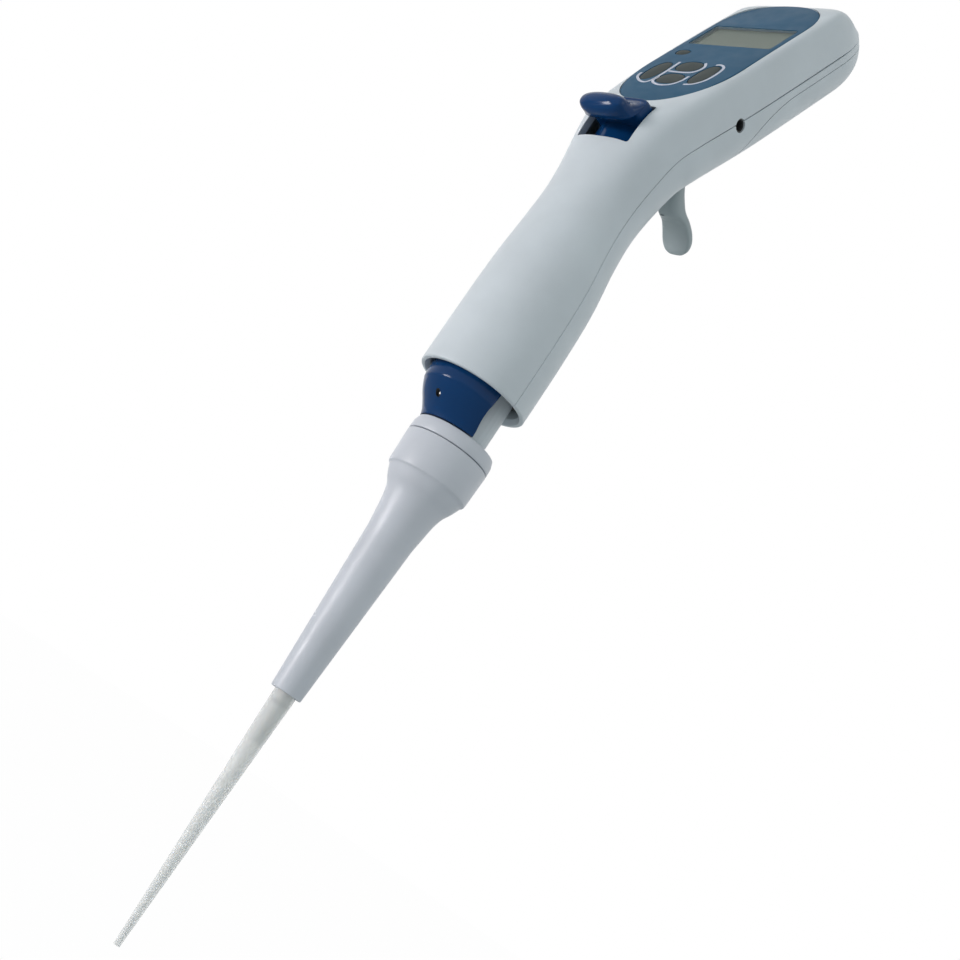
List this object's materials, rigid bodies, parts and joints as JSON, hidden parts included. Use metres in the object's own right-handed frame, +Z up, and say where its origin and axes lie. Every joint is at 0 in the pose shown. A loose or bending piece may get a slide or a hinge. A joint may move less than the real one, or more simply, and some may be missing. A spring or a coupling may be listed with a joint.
{
  "type": "electronic pipette",
  "caption": "Hand-held electronic pipette: leaning head with display and keys, thumb ejector lever, finger trigger, round handle, tapered ejector sleeve and a disposable tip.",
  "frame": {"origin": "on the pipette's axis, at the middle of the hand's grip", "axes": "+Z up along the pipette's axis with the tip pointing down; -Y is the front with the display; X runs across"},
  "size_m": [0.0362, 0.0653, 0.3206],
  "materials": {
    "shell": "fine satin, cool light grey",
    "collar": "fine satin, faintly lilac light grey",
    "navy": "glossy deep blue",
    "panel": "satin mid blue",
    "key": "soft brown-grey",
    "trigger": "satin green-grey",
    "display": "grey-green liquid crystal",
    "window": "clear, glossy",
    "tip": "translucent, slightly cloudy",
    "membrane": "soft white",
    "board": "green lacquer",
    "black": "plain black",
    "seal": "smooth black",
    "steel": "bright",
    "brass": "bright",
    "copper": "copper wire, lacquered",
    "white": "smooth white",
    "cell": "green shrink wrap"
  },
  "bodies": {
    "handset": {"back_housing": "shell", "barrel": "shell", "battery_bay": "black", "battery_contacts": "brass", "battery_pack": "cell", "buzzer": "black", "charging_jack": "black", "chassis": "black", "chassis_screw": "steel", "circuit_board": "board", "control_panel": "panel", "coupling_nut": "black", "display_module": "display", "display_window": "window", "ejector_spring": "steel", "front_housing": "shell", "housing_screw_left": "steel", "housing_screw_right": "steel", "key_membrane": "membrane", "motor_cap": "black", "motor_housing": "steel", "motor_screw_left": "steel", "motor_screw_right": "steel", "nozzle": "white", "nozzle_o_ring": "seal", "stator_coils": "copper", "trigger_bracket": "black", "trigger_pin": "steel", "trigger_spring": "steel", "trigger_switch": "black"},
    "battery_door": {"battery_cover": "shell"},
    "ejector": {"thumb_lever": "navy", "ejector_rod": "steel", "ejector_skirt": "navy", "ejector_ring": "collar", "ejector_sleeve": "collar"},
    "tip": {"pipette_tip": "tip"},
    "trigger": {"trigger": "trigger"},
    "left_key": {"key_left": "key"},
    "right_key": {"key_right": "key"},
    "upper_key": {"key_upper": "key"},
    "lower_key": {"key_lower": "key"},
    "menu_key": {"key_menu": "key"},
    "piston": {"lead_screw": "steel", "piston": "white", "piston_seal": "seal"},
    "rotor": {"rotor_nut": "brass"}
  },
  "joints": [
    {"name": "battery_cover_slide", "type": "slide", "parent": "handset", "child": "battery_door", "axis": [0, 0.4179, 0.9085], "range_m": [0, 0.03]},
    {"name": "ejector_slide", "type": "slide", "parent": "handset", "child": "ejector", "axis": [0, 0, 1], "range_m": [-0.0062, 0], "stiffness_N_per_m": 500, "springref_m": 0.006, "deforming": ["ejector_spring"]},
    {"name": "tip_slide", "type": "slide", "parent": "ejector", "child": "tip", "axis": [0, 0, -1], "range_m": [0, 0.018]},
    {"name": "trigger_hinge", "type": "hinge", "parent": "handset", "child": "trigger", "pos_m": [0, 0.0075, 0.0525], "axis": [-1, 0, 0], "range_deg": [0, 8], "stiffness_Nm_per_rad": 0.03, "springref_deg": -11.46},
    {"name": "left_key_press", "type": "slide", "parent": "handset", "child": "left_key", "axis": [0, 0.9085, -0.4179], "range_m": [0, 0.0006], "stiffness_N_per_m": 1500, "springref_m": -0.0004},
    {"name": "right_key_press", "type": "slide", "parent": "handset", "child": "right_key", "axis": [0, 0.9085, -0.4179], "range_m": [0, 0.0006], "stiffness_N_per_m": 1500, "springref_m": -0.0004},
    {"name": "upper_key_press", "type": "slide", "parent": "handset", "child": "upper_key", "axis": [0, 0.9085, -0.4179], "range_m": [0, 0.0006], "stiffness_N_per_m": 1500, "springref_m": -0.0004},
    {"name": "lower_key_press", "type": "slide", "parent": "handset", "child": "lower_key", "axis": [0, 0.9085, -0.4179], "range_m": [0, 0.0006], "stiffness_N_per_m": 1500, "springref_m": -0.0004},
    {"name": "menu_key_press", "type": "slide", "parent": "handset", "child": "menu_key", "axis": [0, 0.9085, -0.4179], "range_m": [0, 0.0006], "stiffness_N_per_m": 1500, "springref_m": -0.0004},
    {"name": "rotor_spin", "type": "hinge", "parent": "handset", "child": "rotor", "pos_m": [0, 0, -0.012], "axis": [0, 0, 1], "range_deg": [0, 1085]},
    {"name": "piston_slide", "type": "slide", "parent": "handset", "child": "piston", "axis": [0, 0, 1], "range_m": [0, 0.018]}
  ],
  "couplings": [
    {"joint": "rotor_spin", "follows": "piston_slide", "rad_per_m": 1047.2}
  ]
}
